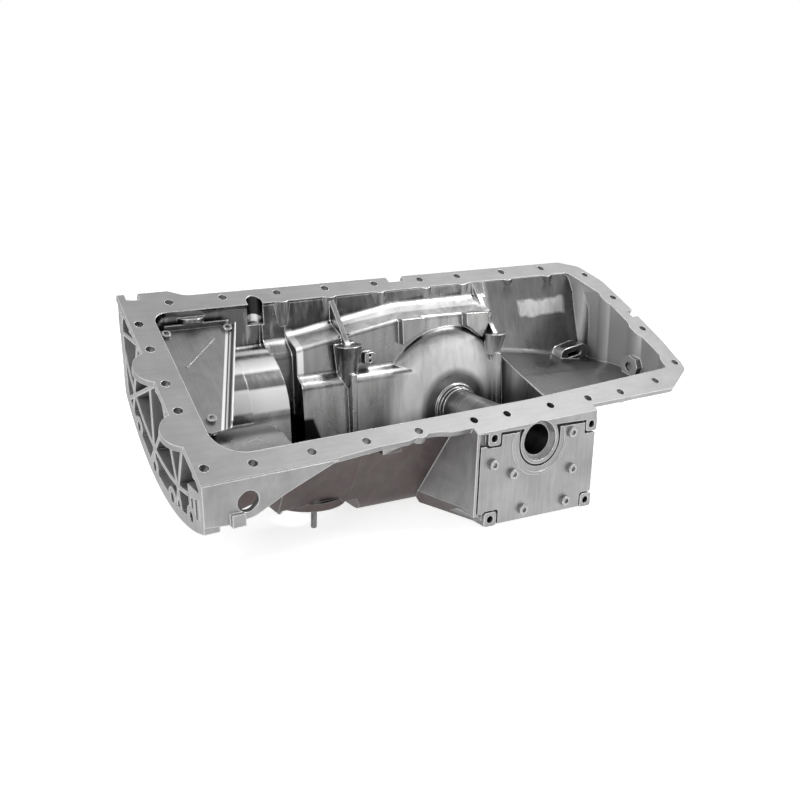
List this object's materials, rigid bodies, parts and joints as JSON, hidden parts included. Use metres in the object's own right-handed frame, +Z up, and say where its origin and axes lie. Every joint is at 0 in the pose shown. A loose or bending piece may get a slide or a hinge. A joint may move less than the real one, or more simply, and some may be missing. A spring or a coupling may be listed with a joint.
{
  "type": "engine oil pan",
  "caption": "Cast aluminium oil pan for a leaning inline engine with a passage tube for the front axle shaft, a side cover, a starter tunnel and a gearbox flange.",
  "frame": {"origin": "middle of the whole part's box, on the level underside of the sump", "axes": "+X to the front of the engine along the crank's level run, +Y to the far side, +Z up; the crank rises 2.8 degrees to +X and the engine leans 30 degrees to -Y"},
  "size_m": [0.6212, 0.2344, 0.2395],
  "materials": {
    "cast_aluminium": "satin cast and blasted, rail machined",
    "cover_aluminium": "satin",
    "sheet_aluminium": "matt rolled sheet",
    "washer_aluminium": "plain",
    "tube_steel": "drawn, satin",
    "screw_steel": "zinc plated",
    "gasket": "matt"
  },
  "bodies": {
    "root": {"pan_casting": "cast_aluminium", "side_cover": "cover_aluminium", "side_cover_gasket": "gasket", "side_cover_screws": "screw_steel", "axle_tube": "tube_steel", "sensor_studs": "screw_steel", "drain_plug": "screw_steel", "drain_washer": "washer_aluminium", "baffle_plate": "sheet_aluminium", "baffle_screws": "screw_steel"}
  },
  "joints": []
}
